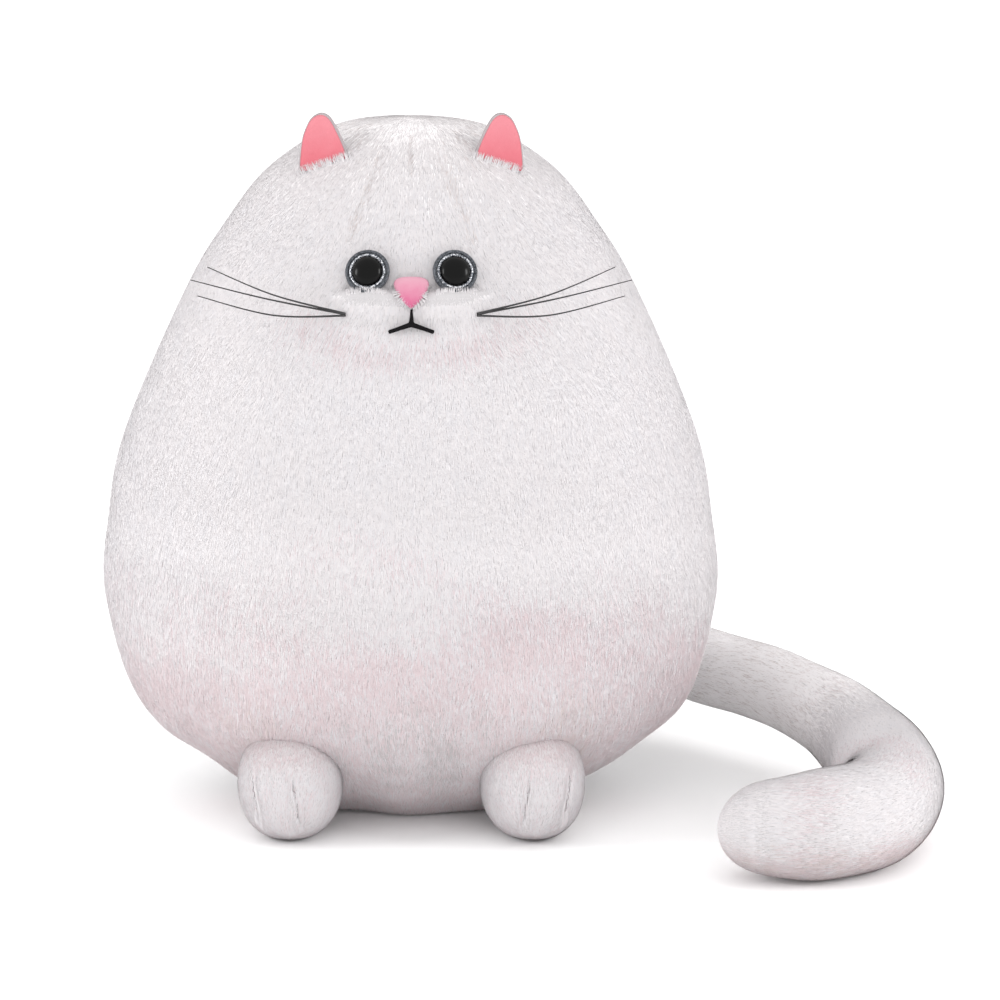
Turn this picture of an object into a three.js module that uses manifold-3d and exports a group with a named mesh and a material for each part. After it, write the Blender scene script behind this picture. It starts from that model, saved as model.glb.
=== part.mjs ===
// Plush cat: a round stuffed body with ears, eyes, nose, whiskers, two front paws and a long tail.
// Millimetres, +Z up, the face looks along -Y, the origin is the middle of the base on the floor.
// "left" and "right" are as seen by someone looking at the face: left is -X.
import * as THREE from 'three';
import { mergeVertices } from 'three/addons/utils/BufferGeometryUtils.js';
import Module from 'manifold-3d';

const wasm = await Module();
wasm.setup();

// ---- driving sizes ----
const BODY_HEIGHT = 279;
const BODY_HALF_WIDTH = 125.5;
const BODY_DEPTH_RATIO = 0.72; // depth of the body over its width
const SKIN = 3; // plush fabric with its pile
const GAP = 0.3; // clearance between neighbouring pieces
const SOCKET_GAP = 0.6; // clearance around the ball of the tail, which turns in its socket
const EYE_X = 16.4;
const EYE_Z = 220.5;
const EYE_RADIUS = 8.6;
const NOSE_Z = 213.6;
const NOSE_WIDTH = 13.4;
const NOSE_HEIGHT = 11.6;
const MOUTH_Z = 201.5; // where the stem of the mouth forks
const WHISKER_X = 24.8;
const WHISKER_Z = 205;
const EAR_X = 34;
const EAR_Z = 260.5;
const EAR_WIDTH = 20;
const EAR_HEIGHT = 18.7;
const EAR_CLEARANCE = 2; // the ear folds over the head without touching it
const PAW_X = 47.5;
const PAW_RADII = new THREE.Vector3(21.5, 31, 23);
const PAW_CENTRE = new THREE.Vector3(PAW_X, -62, 21);
const TAIL_RADIUS = 17.2;
const TAIL_END_SWELL = 4.2; // the free end is thicker than the root
const TAIL_PIVOT = new THREE.Vector3(0, 92, 46);

// ---- fineness of the facets ----
const BODY_SIDES = 40;
const BODY_STEPS = 14;
const ROUND_SIDES = 16;
const TAIL_SIDES = 12;
const TAIL_STEPS = 22;
const TIP_STEPS = 5;

// ---- materials ----
const WHITE_PLUSH = { color: 0xebe7e8, roughness: 0.95, metalness: 0 };
const FIBRE = { color: 0xf4f2ee, roughness: 1, metalness: 0 };
const PINK_SATIN = { color: 0xf2939d, roughness: 0.55, metalness: 0 };
const NOSE_SATIN = { color: 0xe893ad, roughness: 0.5, metalness: 0 };
const BLACK_THREAD = { color: 0x171516, roughness: 0.7, metalness: 0 };
const WHITE_THREAD = { color: 0xd8d0d2, roughness: 0.8, metalness: 0 };
const BLACK_GLOSS = { color: 0x0b0a0b, roughness: 0.08, metalness: 0 };
const GLITTER = { color: 0xc9ccd0, roughness: 0.3, metalness: 0.8 };
const GREY_CUP = { color: 0x70757b, roughness: 0.35, metalness: 0 };
const WHITE_PLASTIC = { color: 0xe6e6e4, roughness: 0.5, metalness: 0 };
const NYLON = { color: 0x2c2a2c, roughness: 0.4, metalness: 0 };
const BEAD_CLOTH = { color: 0xdad6cc, roughness: 0.9, metalness: 0 };

// ---- closed solids ----

// A closed solid from a three.js geometry, with its faces turned outwards.
function solid(geometry) {
  const bare = geometry.clone();
  bare.deleteAttribute('normal');
  bare.deleteAttribute('uv');
  const merged = mergeVertices(bare, 1e-4);
  const corners = merged.index.array;
  const triangles = [];
  for (let i = 0; i < corners.length; i += 3) {
    const [a, b, c] = corners.slice(i, i + 3);
    if (a !== b && b !== c && c !== a) triangles.push(a, b, c);
  }
  if (enclosedVolume(merged.attributes.position, triangles) < 0) triangles.reverse();
  return new wasm.Manifold(new wasm.Mesh({
    numProp: 3,
    vertProperties: Float32Array.from(merged.attributes.position.array),
    triVerts: Uint32Array.from(triangles),
  }));
}

function enclosedVolume(positions, triangles) {
  const corner = (i) => new THREE.Vector3().fromBufferAttribute(positions, i);
  let volume = 0;
  for (let i = 0; i < triangles.length; i += 3) {
    const across = corner(triangles[i + 1]).cross(corner(triangles[i + 2]));
    volume += corner(triangles[i]).dot(across) / 6;
  }
  return volume;
}

// A box between two corners.
function box(low, high) {
  const size = new THREE.Vector3().subVectors(high, low);
  const geometry = new THREE.BoxGeometry(size.x, size.y, size.z);
  const middle = new THREE.Vector3().addVectors(low, high).multiplyScalar(0.5);
  return solid(geometry.translate(middle.x, middle.y, middle.z));
}

const FAR = 400; // well outside the whole cat

// Everything above a level.
function above(height) {
  return box(new THREE.Vector3(-FAR, -FAR, height), new THREE.Vector3(FAR, FAR, FAR));
}

// A turned solid around its local Z from [radius, height] points.
function turned(points, sides = ROUND_SIDES) {
  const profile = points.map(([radius, height]) => new THREE.Vector2(radius, height));
  return new THREE.LatheGeometry(profile, sides).rotateX(Math.PI / 2);
}

function sphere(centre, radius, sides = 20) {
  const geometry = new THREE.SphereGeometry(radius, sides, sides / 2);
  return solid(geometry.translate(centre.x, centre.y, centre.z));
}

// A six-sided thread of constant thickness along a curve.
function thread(points, radius, steps) {
  const section = new THREE.Shape().absarc(0, 0, radius, 0, 2 * Math.PI);
  const path = new THREE.CatmullRomCurve3(points);
  const options = { steps, curveSegments: 3, bevelEnabled: false, extrudePath: path };
  return solid(new THREE.ExtrudeGeometry(section, options));
}

// ---- the shape of the body ----

// Half of the front outline, from the edge of the base to the top of the head.
const SIDE_CURVE = new THREE.SplineCurve([
  [0.46, 0], [0.66, 0.05], [0.905, 0.147], [1.005, 0.3], [0.988, 0.42], [0.93, 0.545],
  [0.735, 0.75], [0.61, 0.845], [0.455, 0.93], [0.23, 0.987], [0, 1],
].map(([width, height]) => new THREE.Vector2(width * BODY_HALF_WIDTH, height * BODY_HEIGHT)));

// The whole body, drawn in from its outer surface by an inset (or grown, if the inset is negative).
function bodyShape(inset) {
  const profile = [new THREE.Vector2(0, inset)];
  for (let i = 0; i <= BODY_STEPS; i += 1) {
    const t = i / BODY_STEPS;
    const point = SIDE_CURVE.getPoint(t);
    const along = SIDE_CURVE.getTangent(t);
    const radius = i === BODY_STEPS ? 0 : point.x - inset * along.y;
    const height = i === 0 ? inset : point.y + inset * along.x;
    profile.push(new THREE.Vector2(radius, height));
  }
  const halfDepth = BODY_DEPTH_RATIO * BODY_HALF_WIDTH - inset;
  const geometry = new THREE.LatheGeometry(profile, BODY_SIDES).rotateX(Math.PI / 2);
  return solid(geometry.scale(1, halfDepth / (BODY_HALF_WIDTH - inset), 1));
}

// The point of the body surface at a given x and height, with the direction straight out of it.
function bodySpot(x, height, facing = -1) {
  let low = 0;
  let high = 1;
  for (let i = 0; i < 40; i += 1) {
    const middle = (low + high) / 2;
    if (SIDE_CURVE.getPoint(middle).y < height) low = middle;
    else high = middle;
  }
  const radius = SIDE_CURVE.getPoint(low).x;
  const along = SIDE_CURVE.getTangent(low);
  const y = facing * BODY_DEPTH_RATIO * Math.sqrt(Math.max(radius ** 2 - x ** 2, 0));
  const slope = along.x / along.y;
  const out = new THREE.Vector3(x, y / BODY_DEPTH_RATIO ** 2, -radius * slope).normalize();
  return { point: new THREE.Vector3(x, y, height), out };
}

// A point lifted off the body surface.
function liftedSpot(x, height, lift, facing = -1) {
  const spot = bodySpot(x, height, facing);
  return spot.point.addScaledVector(spot.out, lift);
}

// Moves a geometry made around its local Z so that Z points out of the body at a spot.
function seated(geometry, spot) {
  const side = new THREE.Vector3(0, 0, 1).cross(spot.out).normalize();
  const up = spot.out.clone().cross(side);
  const frame = new THREE.Matrix4().makeBasis(side, up, spot.out).setPosition(spot.point);
  return geometry.applyMatrix4(frame);
}

// ---- swept limb, for the tail ----

// A closed solid along a path, with a ring of the given section at each of the distances along it,
// sized by the two half-size functions.
function limb(path, distances, section, halfWidth, halfHeight) {
  const positions = [];
  const triangles = [];
  const count = section.length;
  const last = distances.length - 1;
  distances.forEach((distance, i) => {
    const t = distance / path.getLength();
    const centre = path.getPointAt(t);
    const side = path.getTangentAt(t).cross(new THREE.Vector3(0, 0, 1)).normalize();
    const up = side.clone().cross(path.getTangentAt(t));
    for (const [across, rise] of section) {
      const point = centre.clone();
      point.addScaledVector(side, across * halfWidth(distance));
      point.addScaledVector(up, rise * halfHeight(distance));
      positions.push(...point.toArray());
    }
    for (let k = 0; k < count && i < last; k += 1) {
      const here = i * count + k;
      const beside = i * count + (k + 1) % count;
      triangles.push(here, beside, here + count, beside, beside + count, here + count);
    }
  });
  const lastRing = last * count;
  for (let k = 1; k < count - 1; k += 1) {
    triangles.push(0, k + 1, k, lastRing, lastRing + k, lastRing + k + 1);
  }
  const geometry = new THREE.BufferGeometry();
  geometry.setAttribute('position', new THREE.Float32BufferAttribute(positions, 3));
  geometry.setIndex(triangles);
  return solid(geometry);
}

const ROUND_SECTION = Array.from({ length: TAIL_SIDES }, (_, k) => {
  const angle = 2 * Math.PI * k / TAIL_SIDES;
  return [Math.cos(angle), Math.sin(angle)];
});
const FLAT_SECTION = [[1, 1], [-1, 1], [-1, -1], [1, -1]];

// The tail leaves the back, turns to the right side and comes forward to lie on the floor.
const TAIL_PATH = new THREE.CatmullRomCurve3([
  TAIL_PIVOT,
  new THREE.Vector3(20, 116, 45),
  new THREE.Vector3(47, 127, 43.8),
  new THREE.Vector3(76, 117, 42.3),
  new THREE.Vector3(102, 88, 40.3),
  new THREE.Vector3(126.6, 62, 38),
  new THREE.Vector3(145, 45.5, 36),
  new THREE.Vector3(161, 28, 33.7),
  new THREE.Vector3(174.5, 3, 30.5),
  new THREE.Vector3(183, -23, 27),
  new THREE.Vector3(186.7, -53, 24),
  new THREE.Vector3(184.5, -83, 22),
  new THREE.Vector3(172.5, -108, 21),
  new THREE.Vector3(150, -121.5, 20.5),
  new THREE.Vector3(126, -121.5, 20),
  new THREE.Vector3(106, -115, 20),
]);
TAIL_PATH.arcLengthDivisions = 400;
const TAIL_SPARE = 8.5; // the path runs on past the tip of the tail
const TAIL_LENGTH = TAIL_PATH.getLength() - TAIL_SPARE;

// Radius of the tail at a distance along it, with its round tip.
function tailRadius(distance, inset = 0) {
  const swell = THREE.MathUtils.smoothstep(distance, 0.5 * TAIL_LENGTH, 0.75 * TAIL_LENGTH);
  const slim = THREE.MathUtils.smoothstep(distance, 0.9 * TAIL_LENGTH, TAIL_LENGTH);
  const radius = TAIL_RADIUS + TAIL_END_SWELL * (swell - slim) - inset;
  const intoTip = Math.max(distance - (TAIL_LENGTH - inset - radius), 0) / radius;
  return radius * Math.sqrt(Math.max(1 - intoTip ** 2, 0.0004));
}

// Distances of the rings: even along the tail, closer together around its tip.
function ringPlaces(end) {
  const tip = TAIL_RADIUS;
  const even = Array.from({ length: TAIL_STEPS }, (_, i) => (end - tip) * i / TAIL_STEPS);
  const around = Array.from({ length: TIP_STEPS + 1 }, (_, i) => {
    return end - tip + tip * Math.sin(0.5 * Math.PI * i / TIP_STEPS);
  });
  return [...even, ...around];
}

function tailShape(inset) {
  const radius = (distance) => tailRadius(distance, inset);
  return limb(TAIL_PATH, ringPlaces(TAIL_LENGTH - inset), ROUND_SECTION, radius, radius);
}

// ---- collecting the pieces ----
const cat = new THREE.Group();
cat.name = 'plush_cat';

function addPiece(name, body, look) {
  const mesh = body.getMesh();
  const geometry = new THREE.BufferGeometry();
  geometry.setAttribute('position', new THREE.Float32BufferAttribute(mesh.vertProperties, 3));
  geometry.setIndex(Array.from(mesh.triVerts));
  geometry.computeVertexNormals();
  const piece = new THREE.Mesh(geometry, new THREE.MeshStandardMaterial(look));
  piece.name = name;
  cat.add(piece);
}

// Adds a right-hand piece and its mirror image; SIDE in the name becomes right and left.
function addPair(name, body, look) {
  addPiece(name.replace('SIDE', 'right'), body, look);
  addPiece(name.replace('SIDE', 'left'), body.mirror([1, 0, 0]), look);
}

function withMirror(body) {
  return body.add(body.mirror([1, 0, 0]));
}

// ---- body: fabric panels over a fibre filling ----
const EYE_SPOT = bodySpot(EYE_X, EYE_Z);
const WHISKER_SPOT = bodySpot(WHISKER_X, WHISKER_Z);
const TAIL_SOCKET = sphere(TAIL_PIVOT, TAIL_RADIUS + SOCKET_GAP);
const POST_RADIUS = 2.4;
const WASHER_RADIUS = 8;
const WASHER_TOP = -(SKIN + 0.9);
const WASHER_THICKNESS = 1.5;
const ANCHOR_RADIUS = 4;
const STUB_RADIUS = 1.4;
const BEAD_BAG_RADIUS = 40;
const BEAD_BAG_HEIGHT = 14;

// A straight plug through the surface of the body, used to cut holes and pockets.
function plug(spot, radius, bottom, top) {
  const outline = [[0, bottom], [radius, bottom], [radius, top], [0, top]];
  return solid(seated(turned(outline), spot));
}

function addBodyPanels() {
  const eyeHoles = withMirror(plug(EYE_SPOT, POST_RADIUS + GAP, -2 * SKIN, SKIN));
  const whiskerHoles = withMirror(plug(WHISKER_SPOT, STUB_RADIUS + GAP, -2 * SKIN, SKIN));
  const shell = bodyShape(0).subtract(bodyShape(SKIN)).intersect(above(SKIN + GAP));
  const front = box(new THREE.Vector3(-FAR, -FAR, -FAR), new THREE.Vector3(FAR, -GAP / 2, FAR));
  const rightBack = box(new THREE.Vector3(GAP / 2, GAP / 2, -FAR), new THREE.Vector3(FAR, FAR, FAR));
  const frontPanel = shell.intersect(front).subtract(eyeHoles).subtract(whiskerHoles);
  addPiece('front_panel', frontPanel, WHITE_PLUSH);
  addPair('back_panel_SIDE', shell.intersect(rightBack).subtract(TAIL_SOCKET), WHITE_PLUSH);
  addPiece('base_panel', bodyShape(0).subtract(above(SKIN)), WHITE_PLUSH);
}

function beadBagShape(grow) {
  const low = SKIN + 2 * GAP - grow;
  const radius = BEAD_BAG_RADIUS + grow;
  const top = BEAD_BAG_HEIGHT + grow;
  const outline = [[0, low], [radius - 3, low], [radius, low + 4], [radius - 7, top], [0, top]];
  return solid(turned(outline, 32).scale(1, BODY_DEPTH_RATIO, 1));
}

function addFilling() {
  const washerPocket = plug(EYE_SPOT, WASHER_RADIUS + 1, WASHER_TOP - 4, SKIN);
  const anchorPocket = plug(WHISKER_SPOT, ANCHOR_RADIUS + 1, WASHER_TOP - 3, SKIN);
  const filling = bodyShape(SKIN + GAP)
    .subtract(withMirror(washerPocket))
    .subtract(withMirror(anchorPocket))
    .subtract(TAIL_SOCKET)
    .subtract(beadBagShape(2 * GAP));
  addPiece('body_filling', filling, FIBRE);
  addPiece('bead_bag', beadBagShape(0), BEAD_CLOTH);
}

// ---- eyes: a cup with a post through the fabric, held by a washer behind it ----
function addEyes() {
  const floor = 1.8;
  const rim = 3.2;
  const pupilRadius = 5.7;
  const ringRadius = 7;
  const postEnd = WASHER_TOP - WASHER_THICKNESS - 1;
  const cup = [
    [0, postEnd], [POST_RADIUS, postEnd], [POST_RADIUS, 0.5], [EYE_RADIUS - 1, 0.5],
    [EYE_RADIUS, 1.4], [EYE_RADIUS - 0.2, rim - 0.5], [EYE_RADIUS - 0.8, rim],
    [ringRadius + GAP, rim - 0.4], [ringRadius + GAP, floor], [0, floor],
  ];
  const ringBottom = floor + GAP;
  const ring = [
    [pupilRadius + GAP, ringBottom], [ringRadius, ringBottom], [ringRadius, ringBottom + 0.8],
    [pupilRadius + GAP, ringBottom + 1.1], [pupilRadius + GAP, ringBottom],
  ];
  const pupil = [[0, ringBottom], [pupilRadius, ringBottom], [pupilRadius, ringBottom + 0.9]];
  const domeRise = 3.1;
  for (const angle of [25, 50, 72, 90]) {
    const turn = THREE.MathUtils.degToRad(angle);
    const height = ringBottom + 0.9 + domeRise * Math.sin(turn);
    pupil.push([angle === 90 ? 0 : pupilRadius * Math.cos(turn), height]);
  }
  const washerBottom = WASHER_TOP - WASHER_THICKNESS;
  const washer = [
    [POST_RADIUS + GAP, washerBottom], [WASHER_RADIUS, washerBottom], [WASHER_RADIUS, WASHER_TOP],
    [POST_RADIUS + GAP, WASHER_TOP], [POST_RADIUS + GAP, washerBottom],
  ];
  addPair('eye_SIDE_cup', solid(seated(turned(cup), EYE_SPOT)), GREY_CUP);
  addPair('eye_SIDE_glitter_ring', solid(seated(turned(ring), EYE_SPOT)), GLITTER);
  addPair('eye_SIDE_pupil', solid(seated(turned(pupil), EYE_SPOT)), BLACK_GLOSS);
  addPair('eye_SIDE_washer', solid(seated(turned(washer), EYE_SPOT)), WHITE_PLASTIC);
}

// ---- nose: a padded triangle with rounded corners, point down ----
function addNose() {
  const bevel = 1.4;
  const flatDepth = 0.8; // between the rounded front and back edges
  const half = NOSE_WIDTH / 2 - bevel;
  const top = NOSE_HEIGHT / 2 - bevel;
  const outline = new THREE.Shape();
  outline.moveTo(0, -top);
  outline.bezierCurveTo(half * 0.6, -top, half, top * 0.2, half, top * 0.5);
  outline.quadraticCurveTo(half, top, half * 0.5, top);
  outline.lineTo(-half * 0.5, top);
  outline.quadraticCurveTo(-half, top, -half, top * 0.5);
  outline.bezierCurveTo(-half, top * 0.2, -half * 0.6, -top, 0, -top);
  const pad = new THREE.ExtrudeGeometry(outline, {
    depth: flatDepth, curveSegments: 4, bevelThickness: bevel, bevelSize: bevel, bevelSegments: 2,
  });
  pad.translate(0, 0, bevel + 2 * GAP);
  addPiece('nose_pad', solid(seated(pad, bodySpot(0, NOSE_Z))), NOSE_SATIN);
}

// ---- mouth: a stem under the nose that forks into two arms ----
function addMouth() {
  const radius = 0.65;
  const lift = radius + GAP;
  const stemTop = NOSE_Z - NOSE_HEIGHT / 2 - GAP;
  const stem = [0, 0.5, 1].map((t) => {
    return liftedSpot(0, THREE.MathUtils.lerp(stemTop, MOUTH_Z + 0.6, t), lift);
  });
  const arm = [[1.2, -0.2], [4.6, -1], [8.4, -2.8]].map(([x, drop]) => {
    return liftedSpot(x, MOUTH_Z + drop, lift);
  });
  addPiece('mouth_stitch_centre', thread(stem, radius, 4), BLACK_THREAD);
  addPair('mouth_stitch_SIDE', thread(arm, radius, 6), BLACK_THREAD);
}

// ---- zigzag stitch that closes the back seam after filling ----
function addClosingStitch() {
  const low = 96;
  const pitch = 7;
  const turns = 8;
  const reach = 3; // to each side of the seam
  const radius = 0.5;
  const points = Array.from({ length: turns + 1 }, (_, i) => {
    const x = i % 2 ? reach : -reach;
    return liftedSpot(x, low + i * pitch, radius + GAP, 1);
  });
  addPiece('closing_stitch', thread(points, radius, 2 * turns), WHITE_THREAD);
}

// ---- whiskers: three nylon strands on each side, from an anchor behind the fabric ----
function addWhiskers() {
  const anchorBottom = WASHER_TOP - 1.5;
  const anchor = [
    [0, anchorBottom], [ANCHOR_RADIUS, anchorBottom], [ANCHOR_RADIUS, WASHER_TOP],
    [STUB_RADIUS, WASHER_TOP], [STUB_RADIUS, 0.2], [0, 0.2],
  ];
  addPair('whisker_anchor_SIDE', solid(seated(turned(anchor, 12), WHISKER_SPOT)), WHITE_PLASTIC);
  const radius = 0.35;
  const root = WHISKER_SPOT.point.clone().addScaledVector(WHISKER_SPOT.out, 1.2);
  const strands = [
    { start: 1.3, middle: [27, -8, 8.2], end: [51, -17, 19.5] },
    { start: 0, middle: [30, -8, 6.8], end: [57.5, -15, 14.5] },
    { start: -1.3, middle: [27, -9, 0.6], end: [54.5, -20, 9] },
  ];
  strands.forEach(({ start, middle, end }, i) => {
    const first = root.clone().add(new THREE.Vector3(0, 0, start));
    const points = [
      first,
      root.clone().add(new THREE.Vector3(...middle)),
      root.clone().add(new THREE.Vector3(...end)),
    ];
    addPair(`whisker_SIDE_${i + 1}`, thread(points, radius, 7), NYLON);
  });
}

// ---- front paws: soft ovals sewn to the lower front of the body ----
function ellipsoid(centre, radii, sides = 20) {
  const geometry = new THREE.SphereGeometry(1, sides, sides / 2).scale(radii.x, radii.y, radii.z);
  return solid(geometry.translate(centre.x, centre.y, centre.z));
}

function pawShape(inset) {
  const radii = PAW_RADII.clone().subScalar(inset);
  return ellipsoid(PAW_CENTRE, radii).intersect(above(inset)).subtract(bodyShape(-GAP));
}

// A toe crease runs over the front of the paw at a distance from its middle line.
function toeStitch(offset, topAngle, bottomAngle) {
  const radius = 0.6;
  const radii = PAW_RADII.clone().addScalar(radius + GAP);
  const narrowing = Math.sqrt(1 - (offset / radii.x) ** 2);
  const points = [0, 1, 2, 3].map((i) => {
    const turn = THREE.MathUtils.degToRad(THREE.MathUtils.lerp(topAngle, bottomAngle, i / 3));
    const forward = radii.y * narrowing * Math.cos(turn);
    const rise = radii.z * narrowing * Math.sin(turn);
    return PAW_CENTRE.clone().add(new THREE.Vector3(offset, -forward, rise));
  });
  return thread(points, radius, 7);
}

function addPaws() {
  addPair('paw_SIDE_skin', pawShape(0).subtract(pawShape(SKIN).add(bodyShape(-GAP))), WHITE_PLUSH);
  addPair('paw_SIDE_filling', pawShape(SKIN + GAP), FIBRE);
  addPair('paw_SIDE_toe_stitch_inner', toeStitch(-5.5, 28, -30), WHITE_THREAD);
  addPair('paw_SIDE_toe_stitch_outer', toeStitch(10.5, 26, -34), WHITE_THREAD);
}

// ---- ears: a pink lining sewn inside a white back ----

// Outline of an ear grown by a margin: its inner side is steep, its outer side is a long arc.
function earOutline(margin) {
  const half = EAR_WIDTH / 2 + margin;
  const tip = EAR_HEIGHT + margin;
  const hem = -8; // runs into the head and is trimmed there
  const outline = new THREE.Shape();
  outline.moveTo(-half, hem);
  outline.lineTo(half, hem);
  outline.lineTo(half, 0);
  outline.quadraticCurveTo(half * 0.75, tip * 0.72, -half * 0.36, tip);
  outline.quadraticCurveTo(-half * 0.62, tip * 1.02, -half * 0.72, tip * 0.8);
  outline.lineTo(-half, 0);
  outline.closePath();
  return outline;
}

// One layer of the right ear: its sewn edge slopes outwards and down the head, its face looks forward.
function earLayer(margin, back, thickness) {
  const layer = new THREE.ExtrudeGeometry(earOutline(margin), {
    depth: thickness, curveSegments: 6, bevelEnabled: false,
  });
  layer.translate(0, 0, back);
  const outward = new THREE.Vector3(0.945, 0.1, -0.31).normalize();
  const faceOut = new THREE.Vector3(0.13, -0.985, 0.05);
  faceOut.addScaledVector(outward, -faceOut.dot(outward)).normalize();
  const up = faceOut.clone().cross(outward);
  const middle = bodySpot(EAR_X, EAR_Z).point.add(new THREE.Vector3(0, 1, 0));
  const frame = new THREE.Matrix4().makeBasis(outward, up, faceOut).setPosition(middle);
  return solid(layer.applyMatrix4(frame)).subtract(bodyShape(-EAR_CLEARANCE));
}

function addEars() {
  const backThickness = 2.4;
  const liningThickness = 1.2;
  addPair('ear_SIDE_back', earLayer(1.2, -backThickness, backThickness), WHITE_PLUSH);
  addPair('ear_SIDE_lining', earLayer(-0.3, GAP, liningThickness), PINK_SATIN);
}

// ---- tail: a ball sewn into the back seam, then a long stuffed tube ----
function addTail() {
  const floor = above(0);
  const seamWidth = (distance) => tailRadius(Math.min(distance, 0.9 * TAIL_LENGTH)) + 2;
  const seamPlaces = ringPlaces(TAIL_PATH.getLength());
  const seamCut = limb(TAIL_PATH, seamPlaces, FLAT_SECTION, seamWidth, () => GAP / 2);
  const skin = tailShape(0).intersect(floor).subtract(tailShape(SKIN)).subtract(TAIL_SOCKET);
  const halves = skin.subtract(seamCut).decompose();
  halves.sort((a, b) => a.boundingBox().max[2] - b.boundingBox().max[2]);
  const [lower, upper] = halves.slice(-2);
  addPiece('tail_root_filling', sphere(TAIL_PIVOT, TAIL_RADIUS), WHITE_PLUSH);
  addPiece('tail_skin_lower', lower, WHITE_PLUSH);
  addPiece('tail_skin_upper', upper, WHITE_PLUSH);
  addPiece('tail_filling', tailShape(SKIN + GAP).subtract(TAIL_SOCKET), FIBRE);
}

addBodyPanels();
addFilling();
addEyes();
addNose();
addMouth();
addClosingStitch();
addWhiskers();
addPaws();
addEars();
addTail();

export default cat;
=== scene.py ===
"""Looks of the plush cat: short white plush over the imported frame, with its face, ears, paws and tail.

Metres, +Z up, the face looks along -Y. Each skin is a smooth closed surface. Its pile is a second mesh,
of small tapered blades that grow out of the skin and are combed along it.
"""

import math

import bpy
import numpy as np
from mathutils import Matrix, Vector
from mathutils.bvhtree import BVHTree


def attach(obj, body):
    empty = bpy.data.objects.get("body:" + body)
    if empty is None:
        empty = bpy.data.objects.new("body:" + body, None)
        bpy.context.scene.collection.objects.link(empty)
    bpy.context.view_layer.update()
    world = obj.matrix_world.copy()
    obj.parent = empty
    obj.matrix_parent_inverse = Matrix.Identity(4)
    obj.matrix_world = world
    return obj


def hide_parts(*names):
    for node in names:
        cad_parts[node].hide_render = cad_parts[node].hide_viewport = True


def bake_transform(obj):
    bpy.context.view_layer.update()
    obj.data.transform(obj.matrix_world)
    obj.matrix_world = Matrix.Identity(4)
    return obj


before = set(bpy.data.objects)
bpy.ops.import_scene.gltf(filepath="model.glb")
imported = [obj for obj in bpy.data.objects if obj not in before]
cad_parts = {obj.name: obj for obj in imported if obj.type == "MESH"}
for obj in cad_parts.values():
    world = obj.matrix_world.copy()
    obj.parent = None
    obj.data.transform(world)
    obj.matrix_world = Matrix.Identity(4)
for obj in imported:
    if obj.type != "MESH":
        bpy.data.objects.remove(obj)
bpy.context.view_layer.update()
MM = 0.001

# ---------------------------------------------------------------- sizes, as in the CAD
BODY_HEIGHT = 0.279
BODY_HALF_WIDTH = 0.1255
BODY_DEPTH_RATIO = 0.72
SIDE_CURVE = np.array(
    [(0.46, 0), (0.66, 0.05), (0.905, 0.147), (1.005, 0.3), (0.988, 0.42), (0.93, 0.545),
     (0.735, 0.75), (0.61, 0.845), (0.455, 0.93), (0.23, 0.987), (0, 1)]
) * (BODY_HALF_WIDTH, BODY_HEIGHT)
EYE_X, EYE_Z, EYE_RADIUS = 0.0164, 0.2205, 0.0086
NOSE_Z, NOSE_WIDTH, NOSE_HEIGHT = 0.2136, 0.0134, 0.0116
MOUTH_Z = 0.2015
EYE_COVER = 0.0068  # distance from the middle of an eye down to the fur over its lower edge
WHISKER_X, WHISKER_Z = 0.0248, 0.205
EAR_X, EAR_Z, EAR_WIDTH, EAR_HEIGHT = 0.034, 0.2605, 0.020, 0.0187
PAW_CENTRE = np.array((0.0475, -0.062, 0.021))
PAW_RADII = np.array((0.0215, 0.031, 0.023))
TAIL_RADIUS, TAIL_END_SWELL = 0.0172, 0.0042
TAIL_ROUTE = MM * np.array(
    [(0, 92, 46), (20, 116, 45), (47, 127, 43.8), (76, 117, 42.3), (102, 88, 40.3), (126.6, 62, 38),
     (145, 45.5, 36), (161, 28, 33.7), (174.5, 3, 30.5), (183, -23, 27), (186.7, -53, 24),
     (184.5, -83, 22), (172.5, -108, 21), (150, -121.5, 20.5), (126, -121.5, 20), (106, -115, 20)]
)
TAIL_SPARE = 0.0085
SKIN_INSET = 0.9 * MM  # the pile fills the rest up to the CAD surface
EAR_HEM = 0.7 * MM  # height on the ear at which the fur of the head ends
TOE_OFFSETS = {"inner": -0.0035, "outer": 0.0125}  # from the middle of the paw to its two creases
TOE_DEPTH = 1.1 * MM
SIDES = {"left": -1, "right": 1}

# ---------------------------------------------------------------- sizes of the pile
PILE_WIDTH = 0.34 * MM
PILE_LIFT = 0.055  # rise of a blade over its length
ROOT_DEPTH = 0.03 * MM
STRAY_SHARE, STRAY_LIFT = 0.01, 3  # a few blades stand up this many times as high
FRINGE_WIDTH, FRINGE_ROOT_DEPTH = 0.36 * MM, 0.4 * MM
FLOOR_GAP = 0.3 * MM  # lowest point of any blade
BACK_START = 0.006  # Y at which the pile of the front gives way to that of the back
# Parts of the body's pile: name, side, blades per square millimetre, length, from and up to which height.
BODY_PILE = [
    ("pile_face", "front", 6.0, 4.4 * MM, 0.185, math.inf),
    ("pile_chest", "front", 6.0, 4.4 * MM, 0.115, 0.185),
    ("pile_belly", "front", 5.6, 4.6 * MM, 0.055, 0.115),
    ("pile_under_belly", "front", 5.6, 4.6 * MM, -math.inf, 0.055),
    ("pile_back_upper", "back", 3.2, 5.4 * MM, 0.13, math.inf),
    ("pile_back_lower", "back", 3.2, 5.4 * MM, -math.inf, 0.13),
]
TAIL_PILE_SPLIT = 0.03  # Y that parts the pile of the tail into two pieces


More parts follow.
